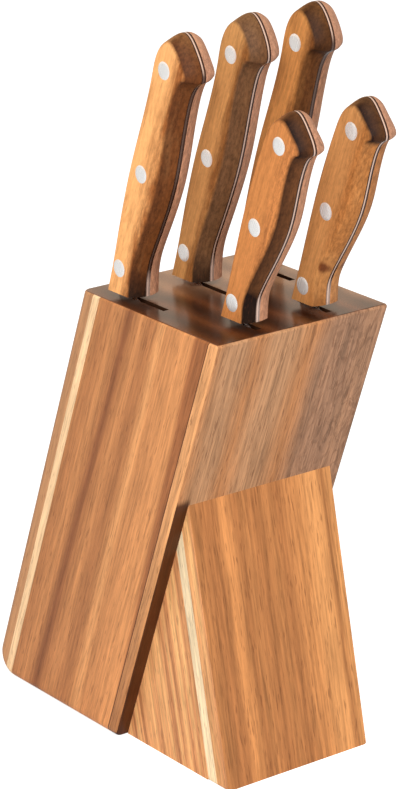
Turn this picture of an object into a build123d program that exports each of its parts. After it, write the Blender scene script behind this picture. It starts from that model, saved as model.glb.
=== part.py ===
"""Knife block with five full-tang knives.

Row frame, millimetres: +Z up, +X across the width of the block, and the block leans towards -Y,
its front. The origin is the centre of the footprint, on the table. The block and its knives are
drawn on a leaning plane whose first axis runs from the front face to the back face (depth) and
whose second axis runs up the slope of the block (rise), with zero where the front face of the
block meets the table.
"""
from build123d import *
from math import cos, radians, sin, tan
import os

os.makedirs("parts", exist_ok=True)

# Block body, with a thin panel glued across its front and another across its back
BODY_WIDTH = 90.0
BODY_THICKNESS = 88.0
BODY_HEIGHT = 200.0
LEAN = 20.0
FRONT_PANEL = 5.5
BACK_PANEL = 8.0
HEEL_CORNER_RADIUS = 10.0
BACK_EDGE_RADIUS = 4.0
FRONT_EDGE_RADIUS = 1.5
TOP_EDGE_RADIUS = 1.2

# Stand under the overhang: boards glued parallel to its front face
STAND_INSET = 7.0
STAND_HEIGHT = 121.0
STAND_REACH = 71.5
STAND_FRONT_BOARD = 14.0
STAND_MIDDLE_BOARD = 26.0
STAND_EDGE_RADIUS = 1.0

# Dowels between the stand and the body, in two pairs between the front slots
DOWEL_DIAMETER = 8.0
DOWEL_IN_BODY = 20.0
DOWEL_IN_STAND = 14.0
DOWEL_HOLE_SPARE = 1.0
DOWEL_ABOVE_FOOT = 26.0
DOWEL_BELOW_TIP = 45.0

# Slots: three behind and two in front, between them
SLOT_SIDE_PLAY = 0.5
SLOT_EDGE_PLAY = 1.0
TIP_PLAY = 0.4
SLOT_FLOOR = 8.0
SIDE_MARGIN = 11.5
BACK_MARGIN = 7.0
FRONT_ROW_OFFSET = 18.5
FRONT_ROW_SPINE = 25.5

# Knives
HANDLE_GAP = 3.0
TANG_THICKNESS = 2.0
LONG_SCALE_THICKNESS = 7.0
SHORT_SCALE_THICKNESS = 6.0
SCALE_WAIST = 0.57
SCALE_WAIST_INSET = 0.4
SCALE_EDGE_RADIUS = 0.8
BLADE_BACK_STEP = 0.4
EDGE_THICKNESS = 0.4
UTILITY_BLADE_LENGTH = 125.0
PARING_BLADE_LENGTH = 90.0
TIP_RUN = 2.5
HOOK_RADIUS = 1.6

# Two-part rivets
RIVET_HEAD_DIAMETER = 7.5
RIVET_HEAD_DEPTH = 1.6
RIVET_SLEEVE_DIAMETER = 5.0
RIVET_PIN_DIAMETER = 3.0
RIVET_END_GAP = 0.5

# Serrations of the bread knife
SERRATION_PITCH = 8.0
SERRATION_DEPTH = 1.2

# Handle outlines as (across, along): across from the straight back of the handle towards the
# hand's fingers, along from the lowest corner of the wood towards the butt. Insets are how far
# the outer face of a scale lies inside that outline at the back, butt, hook, grip and heel.
LONG_BACK = [(4.0, 0.0), (2.2, 27.0), (0.3, 60.0), (-0.2, 103.0), (-0.3, 119.8)]
LONG_BUTT = [(5.3, 128.4), (14.4, 125.4), (21.4, 114.0)]
LONG_GRIP = [(17.8, 98.0), (20.6, 65.0), (18.6, 27.0), (21.6, 6.4)]
LONG_RIVETS = [(9.0, 14.3), (8.6, 61.6), (7.4, 111.0)]
LONG_INSETS = (0.8, 4.0, 3.5, 3.0, 3.0)

CARVING_BACK = [(4.0, 0.0), (2.2, 27.0), (0.3, 60.0), (0.1, 103.0), (0.4, 116.2)]
CARVING_BUTT = [(6.2, 125.2), (15.4, 122.0), (23.2, 111.4)]
CARVING_GRIP = [(18.9, 94.0), (21.8, 60.0), (18.8, 27.0), (21.6, 6.4)]
CARVING_RIVETS = [(9.0, 13.8), (8.6, 60.4), (7.6, 109.4)]

SHORT_BACK = [(1.4, 0.0), (0.8, 18.0), (-1.0, 56.0), (-0.2, 84.0), (1.6, 94.0)]
SHORT_BUTT = [(7.6, 101.3), (16.4, 98.2), (23.2, 90.0)]
SHORT_GRIP = [(19.9, 79.5), (21.2, 54.0), (14.6, 18.0), (17.0, 5.3)]
SHORT_RIVETS = [(6.8, 9.8), (8.2, 47.8), (9.8, 87.6)]
SHORT_INSETS = (0.8, 4.0, 2.5, 2.3, 1.5)


class Handle:
    """One size of handle: its outline, its rivets, the thickness of its scales and the row of
    slots it belongs to."""

    def __init__(self, back, butt, grip, rivets, insets, scale, spine):
        self.back = back
        self.butt = butt
        self.grip = grip
        self.rivets = rivets
        self.insets = insets
        self.scale = scale
        self.scale_face = TANG_THICKNESS / 2 + scale
        self.spine = spine
        self.foot = rise_at(BODY_HEIGHT + HANDLE_GAP, spine - back[0][0])

    def place(self, point):
        """Turn (across, along) into (depth, rise) on the leaning plane."""
        across, along = point
        return (self.spine - across, self.foot + along)

    def heel_point(self, across):
        """Point of the wood's lower end, which is cut level with the top of the block."""
        return (across, (across - self.back[0][0]) * tan(radians(LEAN)))


class Blade:
    """One blade: its height from back to edge, the fall of its tip, the length of its curved
    belly, and its length below the wood, which is left out where it fills the block."""

    def __init__(self, height, tip_drop, belly, length=None, serrated=False):
        self.height = height
        self.tip_drop = tip_drop
        self.belly = belly
        self.length = length
        self.serrated = serrated


def rise_at(height, depth):
    """Rise on the leaning plane of a point at this height above the table and this depth."""
    return (height - depth * sin(radians(LEAN))) / cos(radians(LEAN))


BASE_RUN = BODY_THICKNESS / cos(radians(LEAN))
FRONT_FOOT_Y = (STAND_REACH - BASE_RUN) / 2
DEPTH_AXIS = (0, cos(radians(LEAN)), sin(radians(LEAN)))
RISE_AXIS = (0, -sin(radians(LEAN)), cos(radians(LEAN)))
LEANING = Plane(origin=(0, FRONT_FOOT_Y, 0), x_dir=DEPTH_AXIS, z_dir=(1, 0, 0))
DOWEL_PLANE = Plane(origin=(0, FRONT_FOOT_Y, 0), x_dir=(1, 0, 0), z_dir=DEPTH_AXIS)

# Blind dowel holes, from both sides of the glued face, a little deeper than the dowels reach
DOWEL_OFFSET = FRONT_ROW_OFFSET / 2
DOWEL_RISES = (DOWEL_ABOVE_FOOT, rise_at(STAND_HEIGHT, 0) - DOWEL_BELOW_TIP)
HOLE_START = -DOWEL_IN_STAND - DOWEL_HOLE_SPARE
HOLE_LENGTH = DOWEL_IN_STAND + DOWEL_IN_BODY + 2 * DOWEL_HOLE_SPARE

LONG = Handle(
    LONG_BACK, LONG_BUTT, LONG_GRIP, LONG_RIVETS, LONG_INSETS, LONG_SCALE_THICKNESS,
    spine=BODY_THICKNESS - BACK_MARGIN,
)
CARVING = Handle(
    CARVING_BACK, CARVING_BUTT, CARVING_GRIP, CARVING_RIVETS, LONG_INSETS, LONG_SCALE_THICKNESS,
    spine=BODY_THICKNESS - BACK_MARGIN,
)
SHORT = Handle(
    SHORT_BACK, SHORT_BUTT, SHORT_GRIP, SHORT_RIVETS, SHORT_INSETS, SHORT_SCALE_THICKNESS,
    spine=FRONT_ROW_SPINE,
)

SLOT_WIDTH = TANG_THICKNESS + 2 * SLOT_SIDE_PLAY
BACK_ROW_OFFSET = BODY_WIDTH / 2 - SIDE_MARGIN

# Name, place across the block, handle and blade, from left to right
KNIVES = [
    ("carving_knife", -BACK_ROW_OFFSET, CARVING, Blade(29.0, 5.0, 62.0)),
    ("utility_knife", -FRONT_ROW_OFFSET, SHORT, Blade(16.0, 5.0, 45.0, length=UTILITY_BLADE_LENGTH)),
    ("chef_knife", 0.0, LONG, Blade(44.0, 12.0, 120.0)),
    ("paring_knife", FRONT_ROW_OFFSET, SHORT, Blade(16.0, 5.0, 36.0, length=PARING_BLADE_LENGTH)),
    ("bread_knife", BACK_ROW_OFFSET, LONG, Blade(29.0, 16.0, 26.0, serrated=True)),
]


def blade_levels(handle, blade):
    """Depths of the back and the edge of a blade, and the rises of its heel and tip."""
    back_level = handle.spine - handle.back[0][0] - BLADE_BACK_STEP
    edge_level = back_level - blade.height
    neck_depth, neck_rise = handle.place(handle.heel_point(handle.grip[-1][0]))
    heel_rise = neck_rise - (neck_depth - edge_level)
    if blade.length is None:
        tip_rise = rise_at(SLOT_FLOOR, edge_level - SLOT_EDGE_PLAY) + TIP_PLAY
    else:
        tip_rise = handle.foot - blade.length
    return back_level, edge_level, heel_rise, tip_rise


def body_outline():
    """Side outline of the block, drawn on the leaning plane."""
    front_bottom = (0, 0)
    back_bottom = (BODY_THICKNESS, rise_at(0, BODY_THICKNESS))
    back_top = (BODY_THICKNESS, rise_at(BODY_HEIGHT, BODY_THICKNESS))
    front_top = (0, rise_at(BODY_HEIGHT, 0))
    with BuildSketch(Plane.XY) as outline:
        Polygon(front_bottom, back_bottom, back_top, front_top, align=None)
        fillet(outline.vertices().sort_by(Axis.Y)[0], HEEL_CORNER_RADIUS)
    return outline.sketch


def depth_band(near, far):
    """Side outline of everything between two depths, as high as the block and higher."""
    with BuildSketch(Plane.XY) as band:
        with Locations((near, rise_at(0, BODY_THICKNESS))):
            Rectangle(far - near, 2 * BODY_HEIGHT, align=Align.MIN)
    return band.sketch


def slot_outline(handle, blade):
    """Side outline of a slot, from its floor up and out of the top of the block."""
    back_level, edge_level, _, tip_rise = blade_levels(handle, blade)
    floor = tip_rise - TIP_PLAY
    with BuildSketch(Plane.XY) as outline:
        with Locations((edge_level - SLOT_EDGE_PLAY, floor)):
            slot_length = rise_at(BODY_HEIGHT, 0) - floor
            Rectangle(back_level - edge_level + 2 * SLOT_EDGE_PLAY, slot_length, align=Align.MIN)
    return outline.sketch


def middle_depth(shape):
    """Depth of the middle of an edge or a face behind the front foot of the block."""
    return shape.center().dot(Vector(*DEPTH_AXIS))


def dowel_circles(start):
    """Sketch of the four dowels, this far along their axes from the glued face."""
    with BuildSketch(DOWEL_PLANE.offset(start)) as circles:
        with Locations(*[(side * DOWEL_OFFSET, -rise) for side in (-1, 1) for rise in DOWEL_RISES]):
            Circle(DOWEL_DIAMETER / 2)
    return circles.sketch


# The block as glued up and rounded, before its pieces are told apart
SIDE_OUTLINE = body_outline()
with BuildPart() as blank:
    with BuildSketch(LEANING.offset(-BODY_WIDTH / 2)):
        add(SIDE_OUTLINE)
    extrude(amount=BODY_WIDTH)
    slope = Axis((0, 0, 0), RISE_AXIS)
    fillet(blank.edges().filter_by(slope).sort_by(middle_depth)[-2:], BACK_EDGE_RADIUS)
    fillet(blank.edges().filter_by(slope).sort_by(middle_depth)[:2], FRONT_EDGE_RADIUS)
    fillet(blank.faces().sort_by(Axis.Z)[-1].edges(), TOP_EDGE_RADIUS)

for label, near, far in (
    ("front_panel", 0.0, FRONT_PANEL),
    ("back_panel", BODY_THICKNESS - BACK_PANEL, BODY_THICKNESS),
):
    with BuildPart() as panel:
        add(blank.part)
        with BuildSketch(LEANING.offset(-BODY_WIDTH / 2)):
            add(depth_band(near, far))
        extrude(amount=BODY_WIDTH, mode=Mode.INTERSECT)
        extrude(dowel_circles(HOLE_START), amount=HOLE_LENGTH, mode=Mode.SUBTRACT)
    panel.part.label = label
    export_step(panel.part, "parts/" + label + ".step")

# Boards between the panels, side by side. Each slot is milled into the left face of a board and
# closed by the flat right face of its neighbour.
slot_walls = [place - SLOT_WIDTH / 2 for _, place, _, _ in KNIVES]
board_starts = [-BODY_WIDTH / 2] + slot_walls
board_ends = slot_walls + [BODY_WIDTH / 2]
board_names = ["left_side_board"]
board_names += ["core_board_" + str(number) for number in range(1, len(KNIVES))]
board_names += ["right_side_board"]

for index, (label, start, end) in enumerate(zip(board_names, board_starts, board_ends)):
    with BuildPart() as board:
        add(blank.part)
        with BuildSketch(LEANING.offset(start)):
            add(depth_band(FRONT_PANEL, BODY_THICKNESS - BACK_PANEL))
        extrude(amount=end - start, mode=Mode.INTERSECT)
        if index > 0:
            with BuildSketch(LEANING.offset(start)):
                add(slot_outline(*KNIVES[index - 1][2:]))
            extrude(amount=SLOT_WIDTH, mode=Mode.SUBTRACT)
        extrude(dowel_circles(HOLE_START), amount=HOLE_LENGTH, mode=Mode.SUBTRACT)
    board.part.label = label
    export_step(board.part, "parts/" + label + ".step")

# Stand: three boards glued up parallel to its front face, then cut to a wedge
STAND_TIP = Vector(0, rise_at(STAND_HEIGHT, 0))
STAND_TOE = Vector(-STAND_REACH * cos(radians(LEAN)), STAND_REACH * sin(radians(LEAN)))
STAND_HEEL = Vector(0, 0)
STAND_DEPTH = STAND_REACH * STAND_HEIGHT / (STAND_TIP - STAND_TOE).length


def stand_line(distance):
    """Ends of the line this far behind the front face of the stand, top end first."""
    share = distance / STAND_DEPTH
    top = STAND_TIP + (STAND_HEEL - STAND_TIP) * share
    bottom = STAND_TOE + (STAND_HEEL - STAND_TOE) * share
    return (top.X, top.Y), (bottom.X, bottom.Y)


stand_layers = {
    "stand_front_board": (0.0, STAND_FRONT_BOARD),
    "stand_middle_board": (STAND_FRONT_BOARD, STAND_FRONT_BOARD + STAND_MIDDLE_BOARD),
    "stand_back_board": (STAND_FRONT_BOARD + STAND_MIDDLE_BOARD, STAND_DEPTH),
}
STAND_WIDTH = BODY_WIDTH - 2 * STAND_INSET

for label, (near, far) in stand_layers.items():
    near_top, near_bottom = stand_line(near)
    far_top, far_bottom = stand_line(far)
    corners = [near_top, near_bottom, far_bottom]
    if far < STAND_DEPTH:
        corners.append(far_top)
    with BuildPart() as stand_board:
        with BuildSketch(LEANING.offset(-STAND_WIDTH / 2)):
            Polygon(*corners, align=None)
        extrude(amount=STAND_WIDTH)
        if near == 0.0:
            front_face = stand_board.faces().sort_by(middle_depth)[0]
            fillet(front_face.edges().filter_by(Axis.X, reverse=True), STAND_EDGE_RADIUS)
        extrude(dowel_circles(HOLE_START), amount=HOLE_LENGTH, mode=Mode.SUBTRACT)
    stand_board.part.label = label
    export_step(stand_board.part, "parts/" + label + ".step")

with BuildPart() as dowels:
    extrude(dowel_circles(-DOWEL_IN_STAND), amount=DOWEL_IN_STAND + DOWEL_IN_BODY)
dowels.part.label = "stand_dowels"
export_step(dowels.part, "parts/stand_dowels.step")


def handle_outline(handle, share=0.0):
    """Closed outline of a handle: the tang's where share is 0, the scale's outer face where it
    is 1, and between them otherwise."""
    back_in, butt_in, hook_in, grip_in, heel_in = [share * inset for inset in handle.insets]
    shoulder_in = (butt_in + hook_in) / 2
    waist_in = (grip_in + heel_in) / 2
    tip, shoulder, hook = handle.butt
    back = [handle.place((across + back_in, along)) for across, along in handle.back[1:-1]]
    across, along = handle.back[-1]
    back.append(handle.place((across + butt_in / 2, along - butt_in / 2)))
    butt = [
        handle.place((tip[0] + butt_in / 4, tip[1] - butt_in)),
        handle.place((shoulder[0] - shoulder_in / 2, shoulder[1] - shoulder_in)),
        handle.place((hook[0] - hook_in, hook[1] - hook_in / 4)),
    ]
    grip = [
        handle.place((across - inset, along))
        for (across, along), inset in zip(handle.grip, (grip_in, grip_in, waist_in))
    ]
    back_end = handle.place(handle.heel_point(handle.back[0][0] + back_in))
    grip_end = handle.place(handle.heel_point(handle.grip[-1][0] - heel_in))
    with BuildSketch(Plane.XY) as outline:
        with BuildLine():
            Spline(back_end, *back, *butt, tangents=[(0, 1), (0.35, -1)])
            Spline(butt[-1], *grip, grip_end, tangents=[(1, -0.7), (-0.35, -1)])
            Line(grip_end, back_end)
        make_face()
        fillet(outline.vertices().sort_by_distance(butt[-1])[0], HOOK_RADIUS)
    return outline.sketch


def blade_outline(handle, blade):
    """Outline of a blade from just inside the wood down to its tip."""
    back_level, edge_level, heel_rise, tip_rise = blade_levels(handle, blade)
    tip = (back_level - blade.tip_drop, tip_rise)
    drop_start = (back_level, tip_rise + TIP_RUN * blade.tip_drop)
    back_top = (back_level, handle.foot + BLADE_BACK_STEP)
    neck = handle.place(handle.heel_point(handle.grip[-1][0]))
    heel = (edge_level, heel_rise)
    belly = (edge_level, tip_rise + blade.belly)
    with BuildSketch(Plane.XY) as outline:
        with BuildLine():
            Polyline(drop_start, back_top, neck, heel, belly)
            Spline(belly, tip, tangents=[(0, -1), (0.8, -1)])
            Spline(tip, drop_start, tangents=[(0.5, 1), (0, 1)])
        make_face()
        if blade.serrated:
            radius = SERRATION_PITCH ** 2 / (8 * SERRATION_DEPTH) + SERRATION_DEPTH / 2
            count = int((heel_rise - belly[1]) / SERRATION_PITCH)
            places = [
                (edge_level + SERRATION_DEPTH - radius, heel_rise - step * SERRATION_PITCH)
                for step in range(1, count)
            ]
            with Locations(*places):
                Circle(radius, mode=Mode.SUBTRACT)
    return outline.sketch


def rivet_circles(handle, diameter):
    """Circles at the rivets of a handle, added to the sketch in hand."""
    with Locations(*[handle.place(point) for point in handle.rivets]):
        Circle(diameter / 2)


for name, place, handle, blade in KNIVES:
    middle = LEANING.offset(place)
    outline = handle_outline(handle)
    back_level, edge_level, _, tip_rise = blade_levels(handle, blade)
    scale_levels = (
        (TANG_THICKNESS / 2, 0.0),
        (TANG_THICKNESS / 2 + SCALE_WAIST * handle.scale, SCALE_WAIST_INSET),
        (handle.scale_face, 1.0),
    )

    # The blade tapers from its back to its edge, and the tang above it is flat
    with BuildPart() as blade_part:
        with BuildSketch(middle.offset(-TANG_THICKNESS / 2)):
            add(blade_outline(handle, blade))
        extrude(amount=TANG_THICKNESS)
        with BuildSketch(Plane(middle.origin, x_dir=DEPTH_AXIS, z_dir=RISE_AXIS).offset(tip_rise)):
            with BuildLine():
                Polyline(
                    (edge_level, -EDGE_THICKNESS / 2),
                    (back_level, -TANG_THICKNESS / 2),
                    (back_level, TANG_THICKNESS / 2),
                    (edge_level, EDGE_THICKNESS / 2),
                    close=True,
                )
            make_face()
        extrude(amount=handle.foot + BLADE_BACK_STEP - tip_rise, mode=Mode.INTERSECT)
        with BuildSketch(middle.offset(-TANG_THICKNESS / 2)):
            add(outline)
        extrude(amount=TANG_THICKNESS)
        with BuildSketch(middle.offset(-TANG_THICKNESS / 2)):
            rivet_circles(handle, RIVET_SLEEVE_DIAMETER)
        extrude(amount=TANG_THICKNESS, mode=Mode.SUBTRACT)
    blade_part.part.label = name + "_blade"
    export_step(blade_part.part, "parts/" + name + "_blade.step")

    for side, word in ((-1, "left"), (1, "right")):
        with BuildPart() as scale_part:
            for level, share in scale_levels:
                with BuildSketch(middle.offset(side * level)):
                    add(handle_outline(handle, share))
            loft(ruled=True)
            outer_face = scale_part.faces().sort_by(Axis.X)[0 if side < 0 else -1]
            fillet(outer_face.edges(), SCALE_EDGE_RADIUS)
            with BuildSketch(middle.offset(side * TANG_THICKNESS / 2)):
                rivet_circles(handle, RIVET_SLEEVE_DIAMETER)
            extrude(amount=side * handle.scale, mode=Mode.SUBTRACT)
            with BuildSketch(middle.offset(side * handle.scale_face)):
                rivet_circles(handle, RIVET_HEAD_DIAMETER)
            extrude(amount=-side * RIVET_HEAD_DEPTH, mode=Mode.SUBTRACT)
        scale_part.part.label = name + "_" + word + "_scale"
        export_step(scale_part.part, "parts/" + name + "_" + word + "_scale.step")

    with BuildPart() as sleeves:
        with BuildSketch(middle.offset(-handle.scale_face)):
            rivet_circles(handle, RIVET_HEAD_DIAMETER)
        extrude(amount=RIVET_HEAD_DEPTH)
        with BuildSketch(middle.offset(-handle.scale_face)):
            rivet_circles(handle, RIVET_SLEEVE_DIAMETER)
        extrude(amount=2 * handle.scale_face - RIVET_HEAD_DEPTH - RIVET_END_GAP)
        with BuildSketch(middle.offset(-handle.scale_face + RIVET_HEAD_DEPTH)):
            rivet_circles(handle, RIVET_PIN_DIAMETER)
        extrude(amount=2 * handle.scale_face, mode=Mode.SUBTRACT)
    sleeves.part.label = name + "_rivet_sleeves"
    export_step(sleeves.part, "parts/" + name + "_rivet_sleeves.step")

    with BuildPart() as pins:
        with BuildSketch(middle.offset(handle.scale_face)):
            rivet_circles(handle, RIVET_HEAD_DIAMETER)
        extrude(amount=-RIVET_HEAD_DEPTH)
        with BuildSketch(middle.offset(handle.scale_face)):
            rivet_circles(handle, RIVET_PIN_DIAMETER)
        extrude(amount=-2 * handle.scale_face + RIVET_HEAD_DEPTH + RIVET_END_GAP)
    pins.part.label = name + "_rivet_pins"
    export_step(pins.part, "parts/" + name + "_rivet_pins.step")
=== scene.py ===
"""Looks of the knife block with five knives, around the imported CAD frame."""
import math
import bpy
import bmesh
from mathutils import Matrix, Vector
from mathutils.geometry import interpolate_bezier

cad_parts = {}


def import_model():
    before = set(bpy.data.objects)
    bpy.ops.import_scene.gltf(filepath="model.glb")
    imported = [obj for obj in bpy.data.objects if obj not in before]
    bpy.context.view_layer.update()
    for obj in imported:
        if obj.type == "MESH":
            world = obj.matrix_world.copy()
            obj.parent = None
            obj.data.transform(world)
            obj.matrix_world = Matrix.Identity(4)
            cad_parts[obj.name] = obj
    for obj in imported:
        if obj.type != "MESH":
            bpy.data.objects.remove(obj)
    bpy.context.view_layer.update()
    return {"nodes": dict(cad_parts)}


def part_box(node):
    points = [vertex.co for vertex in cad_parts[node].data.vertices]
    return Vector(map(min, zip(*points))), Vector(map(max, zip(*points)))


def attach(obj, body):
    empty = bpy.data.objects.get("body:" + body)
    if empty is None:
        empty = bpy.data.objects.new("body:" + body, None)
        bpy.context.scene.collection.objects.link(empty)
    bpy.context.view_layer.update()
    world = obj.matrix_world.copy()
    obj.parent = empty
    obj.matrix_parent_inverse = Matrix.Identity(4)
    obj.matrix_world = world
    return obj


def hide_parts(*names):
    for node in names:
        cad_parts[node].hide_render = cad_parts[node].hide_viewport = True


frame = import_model()

MM = 0.001
LEAN = math.radians(20)
KNIVES = ("carving_knife", "utility_knife", "chef_knife", "paring_knife", "bread_knife")
BLOCK_BOARDS = ("left_side_board", "core_board_1", "core_board_2", "core_board_3",
                "core_board_4", "right_side_board")
STAND_BOARDS = ("stand_front_board", "stand_middle_board", "stand_back_board")
SHORT_KNIVES = ("utility_knife", "paring_knife")
FRONT_PANEL = 5.5 * MM
BACK_PANEL_START = 80 * MM
TOP_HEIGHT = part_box("left_side_board")[1].z
HALF_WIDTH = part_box("right_side_board")[1].x
FRONT_FOOT_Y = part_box("front_panel")[1].y - FRONT_PANEL / math.cos(LEAN)
STAND_TOE_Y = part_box("stand_front_board")[0].y
STAND_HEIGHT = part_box("stand_front_board")[1].z
STAND_LEAN = math.atan((FRONT_FOOT_Y - STAND_HEIGHT * math.tan(LEAN) - STAND_TOE_Y) / STAND_HEIGHT)


def tone(red, green, blue):
    """Linear colour of an sRGB tone given in 0 to 255."""
    def linear(value):
        share = value / 255
        return share / 12.92 if share <= 0.04045 else ((share + 0.055) / 1.055) ** 2.4
    return (linear(red), linear(green), linear(blue), 1.0)


# ---------------------------------------------------------------- node helpers

class Nodes:
    """Short calls for building one node tree."""

    def __init__(self, tree):
        self.tree = tree

    def add(self, kind, **settings):
        """A new node of this kind with these settings."""
        node = self.tree.nodes.new(kind)
        for name, value in settings.items():
            setattr(node, name, value)
        return node

    def feed(self, socket, value):
        """Links a socket to another one or sets its value; None leaves it as it is."""
        if isinstance(value, bpy.types.NodeSocket):
            self.tree.links.new(value, socket)
        elif value is not None:
            socket.default_value = value

    def math(self, operation, first, second=None, clamp=False):
        """Result of one operation on numbers or sockets."""
        node = self.add("ShaderNodeMath", operation=operation, use_clamp=clamp)
        for socket, value in zip(node.inputs, (first, second)):
            self.feed(socket, value)
        return node.outputs[0]

    def centred(self, value, width):
        """A value around 0.5 turned into one around 0 and made this wide."""
        return self.math("MULTIPLY", self.math("SUBTRACT", value, 0.5), width)

    def combine(self, x, y, z):
        """A vector of three parts."""
        node = self.add("ShaderNodeCombineXYZ")
        for socket, value in zip(node.inputs, (x, y, z)):
            self.feed(socket, value)
        return node.outputs[0]

    def stretch(self, parts, factors):
        """A vector of these parts, each times its own factor."""
        return self.combine(*[self.math("MULTIPLY", part, factor)
                              for part, factor in zip(parts, factors)])

    def separate(self, vector):
        """The three parts of a vector."""
        node = self.add("ShaderNodeSeparateXYZ")
        self.feed(node.inputs[0], vector)
        return node.outputs

    def noise(self, vector, scale, detail, roughness=0.5, distortion=0.0):
        """Noise around 0.5 at this vector."""
        node = self.add("ShaderNodeTexNoise")
        self.feed(node.inputs["Vector"], vector)
        for name, value in (("Scale", scale), ("Detail", detail), ("Roughness", roughness),
                            ("Distortion", distortion)):
            self.feed(node.inputs[name], value)
        return node.outputs["Fac"]

    def remap(self, value, low, high, to_low=0.0, to_high=1.0, smooth=False):
        """A value from one range moved to another and held inside it."""
        node = self.add("ShaderNodeMapRange",
                        interpolation_type="SMOOTHSTEP" if smooth else "LINEAR")
        for name, number in (("Value", value), ("From Min", low), ("From Max", high),
                             ("To Min", to_low), ("To Max", to_high)):
            self.feed(node.inputs[name], number)
        return node.outputs[0]

    def ramp(self, value, stops, smooth=True):
        """Colour ramp; stops are (position, colour)."""
        node = self.add("ShaderNodeValToRGB")
        node.color_ramp.interpolation = "EASE" if smooth else "LINEAR"
        elements = node.color_ramp.elements
        while len(elements) > 1:
            elements.remove(elements[-1])
        elements[0].position, elements[0].color = stops[0]
        for position, colour in stops[1:]:
            elements.new(position).color = colour
        self.feed(node.inputs[0], value)
        return node.outputs[0]

    def mix(self, factor, first, second, blend="MIX"):
        """The first colour at a factor of 0, blended with the second up to a factor of 1."""
        node = self.add("ShaderNodeMix", data_type="RGBA", blend_type=blend)
        self.feed(node.inputs["Factor"], factor)
        self.feed(node.inputs[6], first)
        self.feed(node.inputs[7], second)
        return node.outputs[2]

    def shade(self, colour, factor):
        """A colour times one factor."""
        return self.mix(1.0, colour, self.combine(factor, factor, factor), "MULTIPLY")

    def object_place(self):
        """Object coordinates, in metres in the part's own frame."""
        return self.add("ShaderNodeTexCoord").outputs["Object"]

    def normal(self):
        """The way the surface faces."""
        return self.add("ShaderNodeNewGeometry").outputs["Normal"]

    def group(self, tree, **values):
        """Outputs of a group, whose inputs are given by name with _ for each space."""
        node = self.add("ShaderNodeGroup", node_tree=tree)
        for name, value in values.items():
            self.feed(node.inputs[name.replace("_", " ")], value)
        return node.outputs


def group_tree(name, inputs, outputs):
    """New shader group with its sockets; inputs are (name, type, default)."""
    tree = bpy.data.node_groups.new(name, "ShaderNodeTree")
    for label, kind, default in inputs:
        socket = tree.interface.new_socket(label, in_out="INPUT", socket_type="NodeSocket" + kind)
        if default is not None:
            socket.default_value = default
    for label, kind in outputs:
        tree.interface.new_socket(label, in_out="OUTPUT", socket_type="NodeSocket" + kind)
    nodes = Nodes(tree)
    return nodes, nodes.add("NodeGroupInput").outputs, nodes.add("NodeGroupOutput").inputs


def add_object(name, data):
    """A new object with this data, linked to the scene."""
    piece = bpy.data.objects.new(name, data)
    bpy.context.scene.collection.objects.link(piece)
    return piece


# ---------------------------------------------------------------- woods and metals

CREAM = tone(252, 214, 172)
STRAW = tone(234, 167, 112)
HONEY = tone(226, 156, 102)
AMBER = tone(210, 144, 94)
COPPER = tone(197, 134, 87)
CHESTNUT = tone(186, 124, 80)
UMBER = tone(146, 90, 58)
RUSSET = tone(168, 106, 66)
SAND = tone(200, 148, 108)
DUSK = tone(174, 130, 102)
FAWN = tone(178, 132, 102)
CLAY = tone(188, 140, 108)
APRICOT = tone(246, 186, 122)
IVORY = tone(255, 228, 184)
RIM_SHEEN_ROSE = tone(192, 142, 114)
TANG_GLINT_ROSE = tone(228, 196, 178)
SEAM_BROWN = tone(92, 54, 32)
PORE_BROWN = tone(96, 52, 28)
SLOT_BARE_AND_SHADE_BROWN = tone(58, 34, 20)
CURL_BROWN = tone(104, 70, 50)
SHADOW_BROWN = tone(84, 44, 18)
KNOT_BROWN = tone(120, 66, 34)
HEEL_SHADOW_BROWN = tone(34, 20, 12)
TANG_EDGE_SHADE_BROWN = tone(62, 36, 24)

# Distance in the noise from one wood's pattern to the next one's
SEED_STEP = 7.31
# Wood this far inside the block is dark: the wall of a slot, bare wood with painted shade, or glued
SLOT_MARGIN = 3 * MM
SEAM_WIDTH = 0.35 * MM


def grain_group():
    """Long wood fibres, short open pores and soft clouds, along Z of a vector in metres."""
    nodes, inside, out = group_tree(
        "Wood Grain",
        (("Vector", "Vector", None), ("Fibre Width", "Float", 1.0), ("Seed", "Float", 0.0)),
        (("Fibres", "Float"), ("Streaks", "Float"), ("Pores", "Float"), ("Clouds", "Float"),
         ("Height", "Float")))
    across = nodes.math("DIVIDE", 1.0 / MM, inside["Fibre Width"])
    x, y, z = nodes.separate(inside["Vector"])
    offset = nodes.math("MULTIPLY", inside["Seed"], SEED_STEP)

    def stretched(share, length):
        scaled = nodes.math("MULTIPLY", across, share)
        return nodes.combine(
            nodes.math("ADD", nodes.math("MULTIPLY", x, scaled), offset),
            nodes.math("ADD", nodes.math("MULTIPLY", y, scaled), offset),
            nodes.math("MULTIPLY", z, nodes.math("MULTIPLY", scaled, length)))

    fibres = nodes.noise(stretched(0.9, 0.05), 1.0, 4.0, 0.7, 0.1)
    streaks = nodes.noise(stretched(0.3, 0.03), 1.0, 3.0, 0.6, 0.3)
    pores = nodes.noise(stretched(1.6, 0.09), 1.0, 1.0, 0.5)
    clouds = nodes.noise(stretched(0.14, 0.2), 1.0, 3.0, 0.6, 0.5)
    pore_mask = nodes.remap(pores, 0.62, 0.7, 0.0, 1.0)
    nodes.feed(out["Fibres"], nodes.remap(fibres, 0.3, 0.7))
    nodes.feed(out["Streaks"], nodes.remap(streaks, 0.32, 0.68))
    nodes.feed(out["Pores"], pore_mask)
    nodes.feed(out["Clouds"], nodes.remap(clouds, 0.32, 0.68))
    nodes.feed(out["Height"],
               nodes.math("SUBTRACT", fibres, nodes.math("MULTIPLY", pore_mask, 0.5)))
    return nodes.tree


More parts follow.
